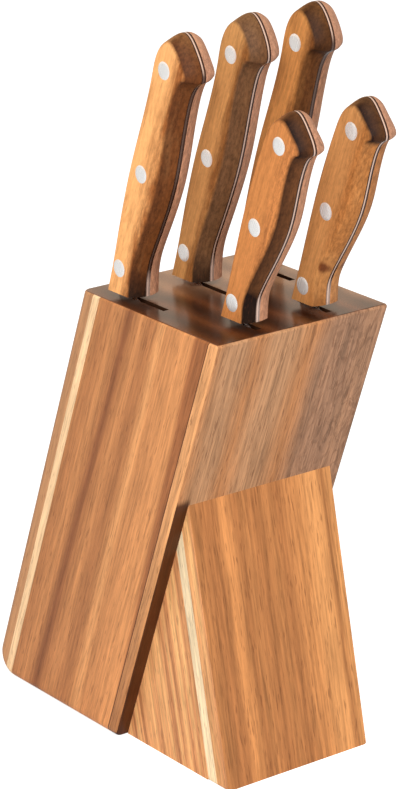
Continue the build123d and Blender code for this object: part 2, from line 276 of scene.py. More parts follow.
def end_grain_group():
    """End grain with wide growth rings and fine pores, dark and paler towards the right and the
    back, and a mask of the level faces at this height."""
    nodes, inside, out = group_tree(
        "End Grain", (("Vector", "Vector", None), ("Level", "Float", 0.2)),
        (("Colour", "Color"), ("Mask", "Float")))
    x, y = nodes.separate(inside["Vector"])[:2]
    sway = nodes.noise(inside["Vector"], 30.0, 2.0)
    ring_level = nodes.math("ADD", nodes.math("MULTIPLY", x, 420.0),
                            nodes.math("MULTIPLY", sway, 3.0))
    rings = nodes.math("ADD", nodes.math("MULTIPLY", nodes.math("SINE", ring_level), 0.5), 0.5)
    specks = nodes.noise(inside["Vector"], 1400.0, 2.0, 0.6)
    shade = nodes.math("ADD", nodes.math("MULTIPLY", rings, 0.6),
                       nodes.remap(specks, 0.35, 0.7, 0.0, 0.4))
    dark = nodes.ramp(shade, ((0.0, tone(38, 16, 6)), (0.5, tone(74, 37, 16)),
                              (1.0, tone(120, 67, 33))))
    pale = nodes.ramp(shade, ((0.0, tone(156, 110, 76)), (1.0, tone(208, 156, 112))))
    drift = nodes.centred(sway, 30 * MM)
    to_corner = nodes.math("ADD", nodes.math("ADD", x, y), drift)
    nodes.feed(out["Colour"], nodes.mix(
        nodes.remap(to_corner, -50 * MM, 5 * MM, 0.0, 0.95, smooth=True), dark, pale))
    facing = nodes.separate(nodes.normal())[2]
    height = nodes.separate(nodes.object_place())[2]
    top = nodes.math("GREATER_THAN", height, nodes.math("SUBTRACT", inside["Level"], 2 * MM))
    nodes.feed(out["Mask"],
               nodes.math("MULTIPLY", nodes.remap(facing, 0.8, 0.97, smooth=True), top))
    return nodes.tree


GRAIN = grain_group()
END_GRAIN = end_grain_group()


def new_material(name, roughness, coat=0.0, coat_roughness=0.2, specular=0.5):
    """A material with its nodes and its shader."""
    material = bpy.data.materials.new(name)
    material.use_nodes = True
    tree = material.node_tree
    shader = tree.nodes["Principled BSDF"]
    shader.inputs["Roughness"].default_value = roughness
    shader.inputs["Coat Weight"].default_value = coat
    shader.inputs["Coat Roughness"].default_value = coat_roughness
    shader.inputs["Specular IOR Level"].default_value = specular
    return material, Nodes(tree), shader


def leaned(nodes, foot_y, lean):
    """Object coordinates in metres from a foot line: X across, Y back from a leaning front
    face and Z up along it."""
    mapping = nodes.add("ShaderNodeMapping", vector_type="POINT")
    nodes.feed(mapping.inputs["Vector"], nodes.object_place())
    mapping.inputs["Rotation"].default_value = (-lean, 0, 0)
    foot = Matrix.Rotation(-lean, 3, "X") @ Vector((0, foot_y, 0))
    mapping.inputs["Location"].default_value = -foot
    return mapping.outputs[0]


def bands(nodes, level, span, stops):
    """Colours that follow one another over a span, given as (millimetres, colour)."""
    start, end = span
    share = nodes.remap(level, start * MM, end * MM)
    return nodes.ramp(share, [((at - start) / (end - start), shade) for at, shade in stops],
                      smooth=False)


def finish_wood(nodes, shader, colour, grain, strength, pores, bump=0.1):
    """Adds streaks, fibres and pores to a wood's colour and gives it a fine relief."""
    mixed = nodes.math("ADD", nodes.math("MULTIPLY", grain["Fibres"], 0.65),
                       nodes.math("MULTIPLY", grain["Streaks"], 0.35))
    fibre_tone = nodes.remap(mixed, 0.1, 0.9, 1.0 - strength, 1.0 + 0.8 * strength)
    colour = nodes.shade(colour, fibre_tone)
    colour = nodes.mix(nodes.math("MULTIPLY", grain["Pores"], pores), colour, PORE_BROWN)
    relief = nodes.add("ShaderNodeBump")
    relief.inputs["Strength"].default_value = bump
    relief.inputs["Distance"].default_value = 0.3 * MM
    nodes.feed(relief.inputs["Height"], grain["Height"])
    nodes.feed(shader.inputs["Normal"], relief.outputs[0])
    return colour


def lacquered_top(nodes, shader, colour, place):
    """Turns the level top of a board to dark, glossy end grain and its slots to dark bare wood with
    painted shade.
    """
    x, depth = nodes.separate(place)[:2]
    within = nodes.math("LESS_THAN", nodes.math("ABSOLUTE", x), HALF_WIDTH - SLOT_MARGIN)
    within = nodes.math("MULTIPLY", within, nodes.math("GREATER_THAN", depth, SLOT_MARGIN))
    within = nodes.math("MULTIPLY", within, nodes.math("LESS_THAN", depth, BACK_PANEL_START))
    # slot walls: dark bare wood with the painted shade of the recess
    colour = nodes.mix(within, colour, SLOT_BARE_AND_SHADE_BROWN)
    end = nodes.group(END_GRAIN, Vector=nodes.object_place(), Level=TOP_HEIGHT)
    nodes.feed(shader.inputs["Base Color"], nodes.mix(end["Mask"], colour, end["Colour"]))
    for name, plain, glossy in (("Roughness", 0.45, 0.28), ("Coat Weight", 0.06, 0.5)):
        nodes.feed(shader.inputs[name], nodes.remap(end["Mask"], 0.0, 1.0, plain, glossy))


def block_wood(name, seed, colour_of, stain, strength=0.26, pores=0.35):
    """Wood of the leaning block; colour_of gives its colour from the nodes and coordinates."""
    material, nodes, shader = new_material(name, 0.45, coat_roughness=0.18, specular=0.15)
    place = leaned(nodes, FRONT_FOOT_Y, LEAN)
    grain = nodes.group(GRAIN, Vector=place, Fibre_Width=1.0, Seed=seed)
    raw = nodes.mix(1.0, colour_of(nodes, place), stain + (1.0,), "MULTIPLY")
    colour = finish_wood(nodes, shader, raw, grain, strength, pores)
    lacquered_top(nodes, shader, colour, place)
    return material


def seam(nodes, level, place):
    """Mask of a fine glue line at this place."""
    away = nodes.math("ABSOLUTE", nodes.math("SUBTRACT", level, place))
    return nodes.remap(away, SEAM_WIDTH, 2 * SEAM_WIDTH, 1.0, 0.0, smooth=True)


def side_colour(nodes, place):
    """Heartwood bands of the block's side, fanning slightly, up to a crisp pale strip."""
    depth, rise = nodes.separate(place)[1:3]
    tilt = nodes.remap(depth, 10 * MM, 60 * MM, 0.05, -0.02)
    drift = nodes.math("MULTIPLY", tilt, nodes.math("SUBTRACT", rise, 100 * MM))
    warp = nodes.centred(nodes.noise(place, 14.0, 2.0), 3 * MM)
    level = nodes.math("ADD", nodes.math("SUBTRACT", depth, drift), warp)
    heart = bands(nodes, level, (0, 88), (
        (5.5, RUSSET), (8, RUSSET), (11, HONEY), (17, HONEY), (24, AMBER), (29, AMBER),
        (32.5, STRAW), (36.5, COPPER), (39, CHESTNUT), (42, CHESTNUT), (48, AMBER), (53, CHESTNUT),
        (56.5, UMBER), (60, CHESTNUT), (64, AMBER), (72, CHESTNUT), (76, COPPER)))
    strip = nodes.math("GREATER_THAN", depth, 75.6 * MM)
    return nodes.mix(seam(nodes, depth, FRONT_PANEL), nodes.mix(strip, heart, CREAM), SEAM_BROWN)


def front_colour(nodes, place):
    """Front panel: tan to greyish brown across, with dark curls at the right, a painted shadow
    strip beside the stand at the left, and a pale left edge."""
    x, depth, rise = nodes.separate(place)
    swirl = nodes.noise(nodes.combine(x, depth, nodes.math("MULTIPLY", rise, 0.35)),
                        60.0, 3.0, 0.5, 1.5)
    level = nodes.math("ADD", x, nodes.centred(swirl, 8 * MM))
    face = bands(nodes, level, (-45, 45), (
        (-45, COPPER), (-38, SAND), (-30, SAND), (-22, COPPER), (-14, SAND), (-4, SAND),
        (6, COPPER), (16, FAWN), (24, DUSK), (31, DUSK), (36, CLAY), (44, DUSK)))
    curls = nodes.noise(nodes.combine(x, 0.0, nodes.math("MULTIPLY", rise, 0.4)),
                        220.0, 3.0, 0.6, 2.0)
    curled = nodes.math("MULTIPLY", nodes.remap(curls, 0.52, 0.42, smooth=True),
                        nodes.remap(x, 6 * MM, 26 * MM, 0.0, 0.35, smooth=True))
    face = nodes.mix(curled, face, CURL_BROWN)
    # painted shadow of the stand on the lower left of the front panel
    stand_shadow = nodes.math("MULTIPLY", nodes.remap(x, -37 * MM, -38.5 * MM),
                              nodes.remap(rise, 133.5 * MM, 129 * MM, smooth=True))
    face = nodes.mix(stand_shadow, face, SHADOW_BROWN)
    edge = nodes.math("LESS_THAN", x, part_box("front_panel")[0].x + 0.6 * MM)
    pale = nodes.mix(nodes.remap(rise, 20 * MM, 120 * MM), COPPER, STRAW)
    return nodes.mix(edge, face, pale)


def back_colour(nodes, place):
    """Back panel: pale bands running up its slope."""
    x = nodes.separate(place)[0]
    warp = nodes.centred(nodes.noise(place, 14.0, 2.0), 8 * MM)
    return bands(nodes, nodes.math("ADD", x, warp), (-45, 45), (
        (-43, SAND), (-37, STRAW), (-29, STRAW), (-18, CREAM), (-10, SAND), (-3, STRAW), (8, CREAM),
        (20, SAND), (29, STRAW), (37, STRAW), (43, SAND)))


def stand_front_colour(nodes, place):
    """Front of the stand: brown to amber bands running up its slope, pale at the right with one
    darker streak."""
    x = nodes.separate(place)[0]
    warp = nodes.centred(nodes.noise(place, 16.0, 2.0), 5 * MM)
    return bands(nodes, nodes.math("ADD", x, warp), (-38, 38), (
        (-36, COPPER), (-31, CHESTNUT), (-26, CHESTNUT), (-22, HONEY), (-18, AMBER),
        (-15, CHESTNUT), (-11, COPPER), (-4, CHESTNUT), (2, COPPER), (8, CHESTNUT), (13, AMBER),
        (18, HONEY), (25, STRAW), (30, STRAW), (33, COPPER), (37, STRAW)))


def stand_wood():
    """Wood of the stand, with bands on its front and fine lines and a pale strip on its sides."""
    material, nodes, shader = new_material("stand_wood", 0.45, 0.08, 0.15, specular=0.15)
    place = leaned(nodes, STAND_TOE_Y, -STAND_LEAN)
    grain = nodes.group(GRAIN, Vector=place, Fibre_Width=1.1, Seed=4.0)
    depth, rise = nodes.separate(place)[1:3]
    lines = nodes.noise(nodes.combine(0.0, nodes.math("MULTIPLY", depth, 260.0),
                                      nodes.math("MULTIPLY", rise, 4.0)), 1.0, 2.0, 0.6)
    side = nodes.ramp(nodes.remap(lines, 0.35, 0.65), (
        (0.0, CHESTNUT), (0.35, HONEY), (1.0, APRICOT)), smooth=False)
    strip = nodes.math("MULTIPLY", nodes.math("GREATER_THAN", depth, 7.3 * MM),
                       nodes.math("LESS_THAN", depth, 13.1 * MM))
    side = nodes.mix(strip, side, IVORY)
    sideways = nodes.math("ABSOLUTE", nodes.separate(nodes.normal())[0])
    on_side = nodes.remap(sideways, 0.6, 0.9, smooth=True)
    front = nodes.mix(1.0, stand_front_colour(nodes, place), (0.85, 0.8, 0.66, 1.0), "MULTIPLY")
    colour = nodes.mix(on_side, front, side)
    nodes.feed(shader.inputs["Base Color"], finish_wood(nodes, shader, colour, grain, 0.4, 0.45))
    return material


# Depth of the back of the long and the short handles
LONG_SPINE = 81 * MM
SHORT_SPINE = 25.5 * MM
# The wood darkens between these depths in front of the back, and the painted shade of its belly
# turns into the heel's darker painted shadow between these rises above the wood end
GRIP_SHADE = (9 * MM, 19 * MM)
HEEL_SHADE = (26 * MM, 8 * MM)
# Depth and rise of the knot in the paring knife's handle, and where it fades from its middle out
PARING_KNOT = (SHORT_SPINE - 14 * MM, 231 * MM)
KNOT_FADE = (0.6 * MM, 2.0 * MM)
# The painted highlight line on the tang: how far left of the middle it lies and where it fades to
# both sides
LINE_SHIFT = 0.25 * MM
LINE_FADE = (0.22 * MM, 0.42 * MM)
# Heights above the block's top at which the tang begins and between which the painted shade on its
# edges sets in
TANG_START = 3 * MM
TANG_DARKENS = (9 * MM, 15 * MM)
# Each handle's wood on its flat and towards the grip, and the painted shade on the left scale's
# belly
HANDLE_TONES = {
    "carving_knife": (tone(255, 184, 116), tone(160, 94, 46), tone(84, 46, 22)),
    "utility_knife": (tone(211, 136, 76), tone(200, 126, 70), tone(28, 13, 9)),
    "chef_knife": (tone(206, 148, 88), tone(140, 88, 44), tone(102, 70, 46)),
    "paring_knife": (tone(206, 144, 86), tone(180, 116, 62), tone(34, 16, 11)),
    "bread_knife": (tone(210, 142, 78), tone(130, 78, 38), tone(60, 34, 16)),
}
# How full the belly's painted shade is along the grip; on the butt it is full
GRIP_SHADE_BANDS = {"carving_knife": 0.9, "utility_knife": 0.92, "chef_knife": 1.0, "paring_knife": 0.15,
              "bread_knife": 0.7}
# How bright the tang's painted highlight stays along the grip, of how bright it is on the butt; the
# rest is painted shade
GRIP_SHINE = {"carving_knife": 0.1, "utility_knife": 0.9, "chef_knife": 0.8, "paring_knife": 1.0,
              "bread_knife": 0.1}


def handle_wood(knife, seed):
    """Oiled handle wood, darker on the flat towards the grip. The attribute on the scales paints
    shade below 0, on the left scale, darkest as painted shadow at the heel, and a rosy painted
    sheen above 0, on the right one."""
    flat, deep, dark = HANDLE_TONES[knife]
    spine = SHORT_SPINE if knife in SHORT_KNIVES else LONG_SPINE
    wood_end = (TOP_HEIGHT - spine * math.sin(LEAN)) / math.cos(LEAN)
    material, nodes, shader = new_material(knife.replace("knife", "handle_wood"), 0.55,
                                           coat_roughness=0.25, specular=0.1)
    place = leaned(nodes, FRONT_FOOT_Y, LEAN)
    grain = nodes.group(GRAIN, Vector=place, Fibre_Width=0.9, Seed=float(seed))
    x, depth, rise = nodes.separate(place)
    start, end = GRIP_SHADE
    towards_grip = nodes.remap(depth, spine - start, spine - end, smooth=True)
    patches = nodes.centred(grain["Clouds"], 0.8)
    colour = nodes.mix(nodes.math("ADD", towards_grip, patches, clamp=True), flat, deep)
    if knife == "paring_knife":
        colour = nodes.mix(knot_mask(nodes, depth, rise, PARING_KNOT), colour, KNOT_BROWN)
    shade_and_sheen = nodes.add("ShaderNodeAttribute", attribute_type="GEOMETRY", attribute_name="shade_and_sheen")
    shade_and_sheen = shade_and_sheen.outputs["Fac"]
    start, end = HEEL_SHADE
    heel = nodes.remap(rise, wood_end + start, wood_end + end, smooth=True)
    reach = nodes.math("ADD", 1.0, nodes.math("MULTIPLY", heel, 0.8))
    # painted shade on the left scale's belly, fuller towards the heel
    belly_shade = nodes.math("MULTIPLY", nodes.remap(shade_and_sheen, 0.0, -1.0), reach, clamp=True)
    # the belly's painted shade turns to a near-black painted shadow at the heel
    colour = nodes.mix(belly_shade, colour, nodes.mix(heel, dark, HEEL_SHADOW_BROWN))
    # rosy painted sheen of grazing light on the right scale
    colour = nodes.mix(nodes.remap(shade_and_sheen, 0.0, 1.0), colour, RIM_SHEEN_ROSE)
    specks = nodes.noise(nodes.stretch((x, depth, rise), (800.0, 800.0, 330.0)), 1.0, 3.0, 0.7)
    rough = nodes.math("MAXIMUM", towards_grip, belly_shade)
    spread = nodes.centred(specks, nodes.remap(rough, 0.0, 1.0, 0.5, 1.8))
    colour = nodes.shade(colour, nodes.math("ADD", spread, 1.0))
    nodes.feed(shader.inputs["Base Color"],
               finish_wood(nodes, shader, colour, grain, 0.2, 0.25, 0.06))
    return material


def knot_mask(nodes, depth, rise, knot):
    """Mask of a small knot, twice as long as it is wide."""
    away = nodes.combine(nodes.math("SUBTRACT", depth, knot[0]),
                         nodes.math("MULTIPLY", nodes.math("SUBTRACT", rise, knot[1]), 0.5), 0.0)
    length = nodes.add("ShaderNodeVectorMath", operation="LENGTH")
    nodes.feed(length.inputs[0], away)
    return nodes.remap(length.outputs["Value"], *KNOT_FADE, 1.0, 0.0, smooth=True)


def brushed_metal(name, colour, roughness, metallic):
    """Metal with fine scratches, along the blade or across a rivet."""
    material, nodes, shader = new_material(name, roughness)
    x, depth, rise = nodes.separate(leaned(nodes, FRONT_FOOT_Y, LEAN))
    lines = nodes.noise(nodes.stretch((x, depth, rise), (900.0, 700.0, 60.0)), 1.0, 2.0, 0.6)
    worn = tuple(0.96 * part for part in colour[:3]) + (1,)
    nodes.feed(shader.inputs["Base Color"], nodes.ramp(lines, ((0.3, worn), (0.7, colour))))
    shader.inputs["Metallic"].default_value = metallic
    nodes.feed(shader.inputs["Roughness"],
               nodes.remap(lines, 0.3, 0.7, roughness, roughness + 0.08))
    return material, nodes, shader


def knife_steel(knife):
    """Ground steel. Between the scales its rounded edges are painted dark, as painted shade and
    reflection, and its middle is a narrow painted highlight line, brighter on the butt than along
    the grip."""
    low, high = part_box(f"{knife}_blade")
    material, nodes, shader = brushed_metal(f"{knife}_steel", (0.88, 0.87, 0.85, 1), 0.22, 0.75)
    ground = shader.inputs["Base Color"].links[0].from_socket
    place = nodes.separate(nodes.object_place())
    x, height = place[0], place[2]
    facing = nodes.separate(nodes.normal())[2]
    off_line = nodes.math("ABSOLUTE", nodes.math("SUBTRACT", x, (low.x + high.x) / 2 - LINE_SHIFT))
    # painted dark edges of the tang on both sides of its painted highlight line
    edge = nodes.remap(off_line, *LINE_FADE, smooth=True)
    tang_shade = nodes.remap(facing, 0.0, 0.5, 1 - GRIP_SHINE[knife], 0.0, smooth=True)
    start, end = TANG_DARKENS
    heel = nodes.remap(height, TOP_HEIGHT + start, TOP_HEIGHT + end)
    tang_shade = nodes.math("MULTIPLY", tang_shade, heel)
    edge = nodes.math("MULTIPLY", edge, nodes.remap(heel, 0.0, 1.0, 0.5, 1.0))
    tang = nodes.math("GREATER_THAN", height, TOP_HEIGHT + TANG_START)
    # the tang above the top takes a rosy painted glint
    tang_glint = nodes.mix(tang, ground, TANG_GLINT_ROSE)
    dark = nodes.math("MULTIPLY", nodes.math("MAXIMUM", edge, tang_shade), tang)
    nodes.feed(shader.inputs["Base Color"], nodes.mix(dark, tang_glint, TANG_EDGE_SHADE_BROWN))
    below = nodes.math("LESS_THAN", height, TOP_HEIGHT)
    nodes.feed(shader.inputs["Metallic"], nodes.remap(below, 0.0, 1.0, 0.35, 0.8))
    return material


def dress(node, material):
    """Gives a piece of the CAD frame this material."""
    piece = frame["nodes"][node]
    piece.data.materials.clear()
    piece.data.materials.append(material)


SIDE_WOOD = block_wood("block_side_wood", 1.0, side_colour, (1.0, 0.96, 0.86), 0.34)
for board in BLOCK_BOARDS:
    dress(board, SIDE_WOOD)
dress("front_panel", block_wood("block_front_wood", 2.0, front_colour, (0.9, 0.9, 0.86), 0.45,
                                0.45))
dress("back_panel", block_wood("block_back_wood", 3.0, back_colour, (1.0, 0.95, 0.85)))
STAND_WOOD = stand_wood()
for board in STAND_BOARDS:
    dress(board, STAND_WOOD)
RIVET_METAL = brushed_metal("rivet_metal", (0.96, 0.95, 0.93, 1), 0.22, 0.5)[0]
HANDLE_WOODS = {knife: handle_wood(knife, seed) for seed, knife in enumerate(KNIVES, start=5)}

# ---------------------------------------------------------------- handle scales

# How far the flat of a scale lies inside its outline at the back, butt, hook, grip and wood end
LONG_INSETS = (0.8 * MM, 4.0 * MM, 3.5 * MM, 3.0 * MM, 3.0 * MM)
SHORT_INSETS = (0.8 * MM, 4.0 * MM, 2.5 * MM, 2.3 * MM, 1.5 * MM)
# Shares of the handle's height: the grip's inset is reached at the first, and above the second
# it turns into the hook's, which is reached at the top
GRIP_FROM = 0.3
HOOK_FROM = 0.6
# Share of the height above which the belly's painted shade turns into that of the butt, and over
# how much
BUTT_START = 0.84
BUTT_BLEND = 0.03
BELLY_POWER = 1.7
BELLY_RINGS = 9
# How full the belly's painted shade is beside the tang
TANG_BELLY_SHADE = 0.85
TANG_GROOVE = 0.2 * MM
RIM_RADIUS = 0.8 * MM
# Degrees of the rim's rounding at which it has a ring
RIM_TURNS = (18, 36, 54, 72, 90)
# From the rim to one more ring, on the flat
FLAT_EDGE = 0.6 * MM
OUTLINE_POINTS = 320
END_POINTS = 16
CURVE_POINTS = 9
# The outward way at a point is averaged over this much outline on both sides, so many times
AVERAGED_REACH = 6 * MM
AVERAGED_TIMES = 2
# Over this much outline, up to the wood end, the inset turns until it runs along that end
END_REACH = 10 * MM
# Points closer together than this are one point
WELD_DISTANCE = 0.001 * MM
# Points closer to a plane than this lie on it
NEAR = 0.01 * MM
# Edges that turn by more degrees than this stay sharp
SCALE_SHARP = 28
RIVET_SHARP = 35


def leaning(point):
    """(depth, rise) of a point, in metres along the block's own slope."""
    y = point.y - FRONT_FOOT_Y
    return Vector((y * math.cos(LEAN) + point.z * math.sin(LEAN),
                   point.z * math.cos(LEAN) - y * math.sin(LEAN)))


def upright(x, spot):
    """The point at x across and this (depth, rise)."""
    depth, rise = spot
    return Vector((x, FRONT_FOOT_Y + depth * math.cos(LEAN) - rise * math.sin(LEAN),
                   depth * math.sin(LEAN) + rise * math.cos(LEAN)))


def tang_loops(node, side):
    """Loops of the face by which a scale lies on its tang, the longest first."""
    piece = frame["nodes"][node]
    mesh = bmesh.new()
    mesh.from_mesh(piece.data)
    mesh.transform(piece.matrix_world)
    bmesh.ops.remove_doubles(mesh, verts=mesh.verts, dist=WELD_DISTANCE)
    inner = min(side * vertex.co.x for vertex in mesh.verts) + NEAR
    flat = {face for face in mesh.faces if all(side * vertex.co.x < inner for vertex in face.verts)}
    links = {}
    for edge in mesh.edges:
        if sum(face in flat for face in edge.link_faces) == 1:
            for vertex in edge.verts:
                links.setdefault(vertex, []).append(edge.other_vert(vertex))
    loops = []
    while links:
        current = next(iter(links))
        loop = []
        while current in links:
            loop.append(current.co.copy())
            ways = links.pop(current)
            current = ways[0] if ways[0] in links else ways[1]
        loops.append(loop)
    mesh.free()
    return sorted(loops, key=len_of_loop, reverse=True)


def len_of_loop(loop):
    """Length once around a loop."""
    return sum((a - b).length for a, b in zip(loop, loop[1:] + loop[:1]))


def open_outline(loop):
    """The outline from the back corner of the wood end, over the butt, to the grip corner."""
    lowest = min(point.z for point in loop)
    ends = [index for index, point in enumerate(loop) if point.z < lowest + NEAR]
    start = max(ends, key=lambda index: loop[index].y)
    turned = loop[start:] + loop[:start]
    if turned[1].z < lowest + NEAR:
        turned = turned[:1] + turned[:0:-1]
    return [leaning(point) for point in turned]


def smooth_line(points, count):
    """count points at even distances on a smooth curve through these points."""
    ways = []
    for index, point in enumerate(points):
        before = point - points[index - 1] if index > 0 else points[1] - point
        after = points[index + 1] - point if index < len(points) - 1 else before
        way = before.normalized() * after.length + after.normalized() * before.length
        ways.append(way.normalized())
    fine = []
    for index in range(len(points) - 1):
        start, end = points[index], points[index + 1]
        reach = (end - start).length / 3
        curve = interpolate_bezier(start, start + ways[index] * reach,
                                   end - ways[index + 1] * reach, end, CURVE_POINTS)
        fine += [Vector(point[:2]) for point in curve[:-1]]
    fine.append(points[-1])
    return even_points(fine, count)


def even_points(points, count):
    """count points at even distances along a polyline, with both its ends."""
    lengths = [0.0]
    for first, second in zip(points, points[1:]):
        lengths.append(lengths[-1] + (second - first).length)
    result, index = [], 0
    for step in range(count):
        target = lengths[-1] * step / (count - 1)
        while index < len(points) - 2 and lengths[index + 1] < target:
            index += 1
        share = (target - lengths[index]) / (lengths[index + 1] - lengths[index])
        result.append(points[index].lerp(points[index + 1], share))
    return result


def inset_ways(line, insets):
    """For each point of the outline, the way and the distance from the tang to the flat."""
    back_in, butt_in, hook_in, grip_in, heel_in = insets
    outward = []
    for index in range(len(line)):
        along = line[min(index + 1, len(line) - 1)] - line[max(index - 1, 0)]
        outward.append(Vector((along.y, -along.x)).normalized())
    step = (line[1] - line[0]).length
    reach = round(AVERAGED_REACH / step)
    for _ in range(AVERAGED_TIMES):
        outward = [
            sum(outward[max(index - reach, 0):index + reach + 1], Vector((0.0, 0.0))).normalized()
            for index in range(len(outward))]
    end_way = (line[0] - line[-1]).normalized()
    lowest = line[-1].y
    height = max(point.y for point in line) - lowest
    ways = []
    for index, (point, way) in enumerate(zip(line, outward)):
        from_end = min(index, len(line) - 1 - index) * step
        at_end = max(0.0, 1.0 - from_end / END_REACH) ** 2
        ending = end_way if index < len(line) / 2 else -end_way
        way = way.lerp(ending, at_end).normalized()
        back = max(way.x, 0.0) ** 2
        butt = max(way.y, 0.0) ** 2
        up = min(1.0, (point.y - lowest) / height)
        grip = heel_in + (grip_in - heel_in) * min(1.0, up / GRIP_FROM)
        grip += (hook_in - grip_in) * max(0.0, (up - HOOK_FROM) / (1 - HOOK_FROM))
        ways.append(-way * (back_in * back + butt_in * butt + grip * (1 - back - butt)))
    return ways


def scale_levels(thickness):
    """(height off the tang, share of the inset, extra inset, share of the belly's painted shade) of
    each ring.
    """
    levels = [(0.0, 0.0, TANG_GROOVE, TANG_BELLY_SHADE),
              (0.4 * TANG_GROOVE, 0.0, 0.3 * TANG_GROOVE, TANG_BELLY_SHADE)]
    top = thickness - RIM_RADIUS
    for ring in range(BELLY_RINGS + 1):
        up = ring / BELLY_RINGS
        height = TANG_GROOVE + (top - TANG_GROOVE) * up
        levels.append((height, (height / thickness) ** BELLY_POWER, 0.0,
                       TANG_BELLY_SHADE + (1 - TANG_BELLY_SHADE) * up))
    for turn in RIM_TURNS:
        angle = math.radians(turn)
        height = top + RIM_RADIUS * math.sin(angle)
        levels.append((height, (height / thickness) ** BELLY_POWER,
                       RIM_RADIUS * (1 - math.cos(angle)), 1 - turn / 90))
    levels.append((thickness, 1.0, RIM_RADIUS + FLAT_EDGE, 0.0))
    return levels


def belly_shade_shares(line, ways, grip_band):
    """For each point of the outline, how full the belly's painted shade is there: full where the
    side faces up, none where it faces the back.
    """
    lowest = line[-1].y
    height = max(point.y for point in line) - lowest
    shares = []
    for point, way in zip(line, ways):
        way = way.normalized()
        upward = max(0.0, -way.y) ** 2
        backward = max(0.0, -way.x) ** 2
        up = (point.y - lowest) / height
        on_butt = min(1.0, max(0.0, (up - BUTT_START) / BUTT_BLEND))
        band = grip_band + (1 - grip_band) * on_butt
        shares.append(upward + band * (1 - upward - backward))
    return shares


def ring_faces(rings, size):
    """Faces of a tube of closed rings with both its ends."""
    faces = [tuple(range(size)), tuple(range(size * (rings - 1), size * rings))]
    for start in range(0, size * (rings - 1), size):
        for index in range(size):
            after = (index + 1) % size
            faces.append((start + index, start + after,
                          start + size + after, start + size + index))
    return faces


def build_scale(knife, word):
    """A rounded scale in place of the stepped one; returns the centres of its rivet holes."""
    side = -1 if word == "left" else 1
    node = f"{knife}_{word}_scale"
    low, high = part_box(node)
    tang = high.x if side < 0 else low.x
    loops = tang_loops(node, side)
    line = smooth_line(open_outline(loops[0]), OUTLINE_POINTS)
    ways = inset_ways(line, SHORT_INSETS if knife in SHORT_KNIVES else LONG_INSETS)
    shares = belly_shade_shares(line, ways, GRIP_SHADE_BANDS[knife])
    levels = scale_levels(high.x - low.x)
    points, shade_and_sheen = [], []
    for level, share, extra, dark in levels:
        ring = [point + way * share + way.normalized() * extra for point, way in zip(line, ways)]
        gap = ring[0] - ring[-1]
        ring += [ring[-1] + gap * step / END_POINTS for step in range(1, END_POINTS)]
        points += [upright(tang + side * level, spot) for spot in ring]
        # negative on the left scale for painted shade, positive on the right one for painted sheen
        shade_and_sheen += [side * dark * part for part in shares] + [0.0] * (END_POINTS - 1)
    faces = ring_faces(len(levels), OUTLINE_POINTS + END_POINTS - 1)
    piece = solid(f"{knife}_{word}_handle_scale", points, faces, HANDLE_WOODS[knife], SCALE_SHARP)
    painted_light = piece.data.attributes.new("shade_and_sheen", "FLOAT", "POINT")
    painted_light.data.foreach_set("value", shade_and_sheen)
    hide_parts(node)
    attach(piece, knife)
    return [leaning(sum(loop, Vector()) / len(loop)) for loop in loops[1:]]


def solid(name, points, faces, material, sharp_angle):
    """A closed mesh with outward faces, smooth except where it turns sharply."""
    mesh = bpy.data.meshes.new(name)
    mesh.from_pydata(points, [], faces)
    shape = bmesh.new()
    shape.from_mesh(mesh)
    bmesh.ops.recalc_face_normals(shape, faces=shape.faces)
    shape.to_mesh(mesh)
    shape.free()
    mesh.shade_smooth()
    mesh.set_sharp_from_angle(angle=math.radians(sharp_angle))
    mesh.materials.append(material)
    return add_object(name, mesh)


# ---------------------------------------------------------------- rivets

def rivet_tree():
    """Sets a rivet with two domed heads across the handle at every point of a mesh."""
    tree = bpy.data.node_groups.new("Domed Rivets", "GeometryNodeTree")
    for name, kind, value in (("Centres", "Geometry", None), ("Head Radius", "Float", 3.75 * MM),
                              ("Length", "Float", 16 * MM), ("Dome", "Float", 0.25 * MM),
                              ("Metal", "Material", None)):
        socket = tree.interface.new_socket(name, in_out="INPUT", socket_type="NodeSocket" + kind)
        if value is not None:
            socket.default_value = value
    tree.interface.new_socket("Rivets", in_out="OUTPUT", socket_type="NodeSocketGeometry")
    nodes = Nodes(tree)
    inside = nodes.add("NodeGroupInput").outputs
    out = nodes.add("NodeGroupOutput").inputs
    drum = nodes.add("GeometryNodeMeshCylinder", fill_type="TRIANGLE_FAN")
    for name, value in (("Vertices", 48), ("Side Segments", 1), ("Fill Segments", 8),
                        ("Radius", inside["Head Radius"]), ("Depth", inside["Length"])):
        nodes.feed(drum.inputs[name], value)
    x, y, z = nodes.separate(nodes.add("GeometryNodeInputPosition").outputs[0])
    flat = nodes.math("SQRT", nodes.math("ADD", nodes.math("MULTIPLY", x, x),
                                         nodes.math("MULTIPLY", y, y)))
    share = nodes.math("DIVIDE", flat, inside["Head Radius"])
    fall = nodes.math("SUBTRACT", 1.0, nodes.math("POWER", share, 5.0))
    dome = nodes.math("MULTIPLY", nodes.math("SIGN", z), inside["Dome"])
    lift = nodes.math("MULTIPLY", dome, fall)
    domed = nodes.add("GeometryNodeSetPosition")
    nodes.feed(domed.inputs["Geometry"], drum.outputs["Mesh"])
    nodes.feed(domed.inputs["Offset"], nodes.combine(0.0, 0.0, lift))
    spread = nodes.add("GeometryNodeInstanceOnPoints")
    nodes.feed(spread.inputs["Points"], inside["Centres"])
    nodes.feed(spread.inputs["Instance"], domed.outputs[0])
    nodes.feed(spread.inputs["Rotation"], (0.0, math.pi / 2, 0.0))
    joined = nodes.add("GeometryNodeRealizeInstances")
    nodes.feed(joined.inputs[0], spread.outputs[0])
    painted = nodes.add("GeometryNodeSetMaterial")
    nodes.feed(painted.inputs["Geometry"], joined.outputs[0])
    nodes.feed(painted.inputs["Material"], inside["Metal"])
    nodes.feed(out["Rivets"], painted.outputs[0])
    return tree


RIVET_TREE = rivet_tree()


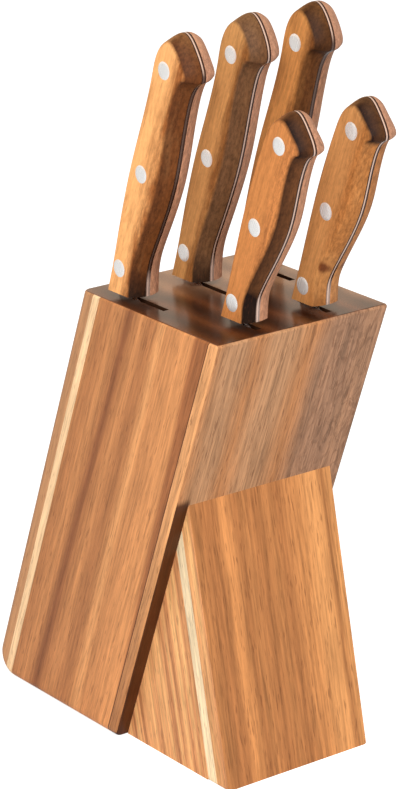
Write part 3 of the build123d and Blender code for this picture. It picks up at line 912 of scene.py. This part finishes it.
def build_rivets(knife, centres):
    """The knife's domed rivets as one mesh, from the outer face of the sleeves to the pins'."""
    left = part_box(f"{knife}_rivet_sleeves")[0].x
    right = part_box(f"{knife}_rivet_pins")[1].x
    seeds = bpy.data.meshes.new("rivet_centres")
    seeds.from_pydata([upright((left + right) / 2, spot) for spot in centres], [], [])
    holder = add_object("rivet_centres", seeds)
    modifier = holder.modifiers.new("rivets", "NODES")
    modifier.node_group = RIVET_TREE
    names = {item.name: item.identifier for item in RIVET_TREE.interface.items_tree
             if item.in_out == "INPUT"}
    modifier[names["Length"]] = right - left
    modifier[names["Metal"]] = RIVET_METAL
    holder.update_tag()
    ready = holder.evaluated_get(bpy.context.evaluated_depsgraph_get())
    mesh = bpy.data.meshes.new_from_object(ready)
    mesh.name = f"{knife}_rivets"
    mesh.shade_smooth()
    mesh.set_sharp_from_angle(angle=math.radians(RIVET_SHARP))
    bpy.data.objects.remove(holder)
    piece = add_object(f"{knife}_rivets", mesh)
    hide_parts(f"{knife}_rivet_sleeves", f"{knife}_rivet_pins")
    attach(piece, knife)


for knife in KNIVES:
    dress(f"{knife}_blade", knife_steel(knife))
    build_scale(knife, "left")
    build_rivets(knife, build_scale(knife, "right"))

# ---------------------------------------------------------------- floor, light and camera

WHITE = (1, 1, 1, 1)
WARM_WHITE = (1, 0.8, 0.62, 1)
FLOOR_GREY = (0.8, 0.8, 0.8, 1)
FLOOR_SIZE = 6.0
FLOOR_GLOW = 0.72
# Strength of the sky as a light, where 1 is its strength as it is seen
SKY_FILL = 0.45
KEY_PLACE = (-0.95, -1.25, 1.2)
KEY_AIM = (0, 0, 0.16)
KEY_SIZE = 0.8
KEY_POWER = 31
CAMERA_PLACE = (-0.81048, -1.06727, 0.62751)
CAMERA_TURN = math.radians(-37.593)
CAMERA_RISE = math.radians(19.762)
CAMERA_LENS = 150.545


def stage():
    """A pale floor, which glows for the camera alone."""
    bpy.ops.mesh.primitive_plane_add(size=FLOOR_SIZE, location=(0, 0, 0))
    floor = bpy.context.object
    floor.name = "floor"
    material = bpy.data.materials.new("pale_floor")
    material.use_nodes = True
    nodes = Nodes(material.node_tree)
    shader = material.node_tree.nodes["Principled BSDF"]
    shader.inputs["Base Color"].default_value = FLOOR_GREY
    shader.inputs["Roughness"].default_value = 0.9
    shader.inputs["Emission Color"].default_value = WHITE
    seen = nodes.add("ShaderNodeLightPath").outputs["Is Camera Ray"]
    nodes.feed(shader.inputs["Emission Strength"], nodes.math("MULTIPLY", seen, FLOOR_GLOW))
    floor.data.materials.append(material)


def world():
    """A white sky, warm in reflections and weaker as a light."""
    sky = bpy.data.worlds.new("studio")
    bpy.context.scene.world = sky
    sky.use_nodes = True
    nodes = Nodes(sky.node_tree)
    back = sky.node_tree.nodes["Background"]
    path = nodes.add("ShaderNodeLightPath").outputs
    seen = nodes.math("MAXIMUM", path["Is Camera Ray"],
                      nodes.math("MAXIMUM", path["Is Glossy Ray"], path["Is Transmission Ray"]))
    nodes.feed(back.inputs["Strength"], nodes.remap(seen, 0.0, 1.0, SKY_FILL, 1.0))
    nodes.feed(back.inputs["Color"], nodes.mix(path["Is Glossy Ray"], WHITE, WARM_WHITE))


def key_light():
    """One soft square lamp from the front left."""
    data = bpy.data.lights.new("key_softbox", "AREA")
    data.shape, data.size, data.energy = "SQUARE", KEY_SIZE, KEY_POWER
    light = add_object("key_softbox", data)
    light.location = KEY_PLACE
    aim = Vector(KEY_AIM) - Vector(KEY_PLACE)
    light.rotation_euler = aim.to_track_quat("-Z", "Y").to_euler()


def front_left_camera():
    """A camera with a long lens and no roll, looking down on the part from its front left."""
    data = bpy.data.cameras.new("camera")
    data.lens = CAMERA_LENS
    data.clip_start, data.clip_end = 0.1, 20
    camera = add_object("camera", data)
    camera.location = CAMERA_PLACE
    camera.rotation_euler = (math.pi / 2 - CAMERA_RISE, 0, CAMERA_TURN)
    bpy.context.scene.camera = camera
    bpy.context.scene.view_settings.view_transform = "Standard"


stage()
world()
key_light()
front_left_camera()
